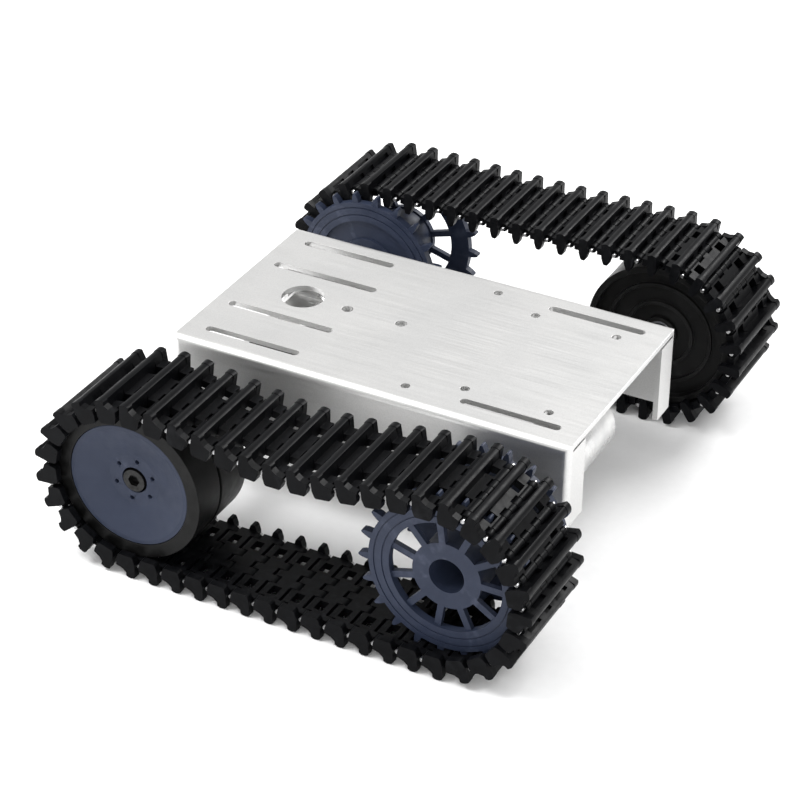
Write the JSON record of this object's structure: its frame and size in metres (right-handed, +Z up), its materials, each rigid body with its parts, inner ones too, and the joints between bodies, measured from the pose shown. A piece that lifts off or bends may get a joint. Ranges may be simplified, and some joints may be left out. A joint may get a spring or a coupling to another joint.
{
  "type": "tracked chassis",
  "caption": "Low tracked robot chassis: folded aluminium body with mounting slots, two gearmotors, and pinned plastic tracks round a toothed sprocket and a plain idler drum on each side",
  "frame": {"origin": "on the ground, midway between the axles and between the two tracks", "axes": "+X forwards along the tracks, +Y to the left across the chassis, +Z up"},
  "size_m": [0.1906, 0.22, 0.0712],
  "materials": {
    "sheet_aluminium": "satin anodised sheet",
    "turned_aluminium": "turned",
    "track_plastic": "moulded, slight sheen",
    "drum_black": "moulded",
    "black_aluminium": "black anodised",
    "wheel_plastic": "moulded, blue grey",
    "end_cap_plastic": "moulded",
    "pin_steel": "drawn wire",
    "motor_steel": "plated",
    "zinc_steel": "zinc plated",
    "bearing_steel": "ground",
    "black_steel": "black oxide"
  },
  "bodies": {
    "chassis": {"body_sheet": "sheet_aluminium", "motor_screws": "zinc_steel", "axle_nuts": "zinc_steel", "motor_gearbox_right": "motor_steel", "motor_can_right": "motor_steel", "motor_end_cap_right": "end_cap_plastic", "axle_bolt_right": "black_steel", "axle_spacer_right": "turned_aluminium", "motor_gearbox_left": "motor_steel", "motor_can_left": "motor_steel", "motor_end_cap_left": "end_cap_plastic", "axle_bolt_left": "black_steel", "axle_spacer_left": "turned_aluminium"},
    "sprocket_right": {"sprocket_outer_disc_right": "wheel_plastic", "sprocket_inner_disc_right": "wheel_plastic", "sprocket_hub_right": "wheel_plastic", "sprocket_screws_right": "zinc_steel", "wheel_coupling_right": "black_aluminium", "coupling_screw_right": "black_steel", "motor_shaft_right": "zinc_steel", "track_sprocket_links_right": "track_plastic", "track_sprocket_pins_right": "pin_steel"},
    "drum_right": {"drum_outer_shell_right": "drum_black", "drum_inner_shell_right": "drum_black", "drum_cap_right": "wheel_plastic", "drum_bearings_right": "bearing_steel", "track_drum_links_right": "track_plastic", "track_drum_pins_right": "pin_steel"},
    "upper_run_right": {"track_upper_links_right": "track_plastic", "track_upper_pins_right": "pin_steel"},
    "lower_run_right": {"track_lower_links_right": "track_plastic", "track_lower_pins_right": "pin_steel"},
    "sprocket_left": {"sprocket_outer_disc_left": "wheel_plastic", "sprocket_inner_disc_left": "wheel_plastic", "sprocket_hub_left": "wheel_plastic", "sprocket_screws_left": "zinc_steel", "wheel_coupling_left": "black_aluminium", "coupling_screw_left": "black_steel", "motor_shaft_left": "zinc_steel", "track_sprocket_links_left": "track_plastic", "track_sprocket_pins_left": "pin_steel"},
    "drum_left": {"drum_outer_shell_left": "drum_black", "drum_inner_shell_left": "drum_black", "drum_cap_left": "wheel_plastic", "drum_bearings_left": "bearing_steel", "track_drum_links_left": "track_plastic", "track_drum_pins_left": "pin_steel"},
    "upper_run_left": {"track_upper_links_left": "track_plastic", "track_upper_pins_left": "pin_steel"},
    "lower_run_left": {"track_lower_links_left": "track_plastic", "track_lower_pins_left": "pin_steel"}
  },
  "joints": [
    {"name": "sprocket_right_turn", "type": "hinge", "parent": "chassis", "child": "sprocket_right", "pos_m": [0.0598, -0.09, 0.03542], "axis": [0, 1, 0], "range_deg": [-17.14, 17.14]},
    {"name": "drum_right_turn", "type": "hinge", "parent": "chassis", "child": "drum_right", "pos_m": [-0.0598, -0.09, 0.03542], "axis": [0, 1, 0], "range_deg": [-17.2, 17.2]},
    {"name": "upper_run_right_slide", "type": "slide", "parent": "chassis", "child": "upper_run_right", "axis": [1, 0, 0], "range_m": [-0.00923, 0.00923]},
    {"name": "lower_run_right_slide", "type": "slide", "parent": "chassis", "child": "lower_run_right", "axis": [1, 0, 0], "range_m": [-0.00923, 0.00923]},
    {"name": "sprocket_left_turn", "type": "hinge", "parent": "chassis", "child": "sprocket_left", "pos_m": [-0.0598, 0.09, 0.03542], "axis": [0, 1, 0], "range_deg": [-17.14, 17.14]},
    {"name": "drum_left_turn", "type": "hinge", "parent": "chassis", "child": "drum_left", "pos_m": [0.0598, 0.09, 0.03542], "axis": [0, 1, 0], "range_deg": [-17.2, 17.2]},
    {"name": "upper_run_left_slide", "type": "slide", "parent": "chassis", "child": "upper_run_left", "axis": [1, 0, 0], "range_m": [-0.00923, 0.00923]},
    {"name": "lower_run_left_slide", "type": "slide", "parent": "chassis", "child": "lower_run_left", "axis": [1, 0, 0], "range_m": [-0.00923, 0.00923]}
  ],
  "couplings": [
    {"joint": "drum_right_turn", "follows": "sprocket_right_turn", "ratio": 1},
    {"joint": "upper_run_right_slide", "follows": "sprocket_right_turn", "m_per_rad": 0.030749},
    {"joint": "lower_run_right_slide", "follows": "sprocket_right_turn", "m_per_rad": -0.030749},
    {"joint": "drum_left_turn", "follows": "sprocket_left_turn", "ratio": 1},
    {"joint": "upper_run_left_slide", "follows": "sprocket_left_turn", "m_per_rad": 0.030749},
    {"joint": "lower_run_left_slide", "follows": "sprocket_left_turn", "m_per_rad": -0.030749}
  ]
}
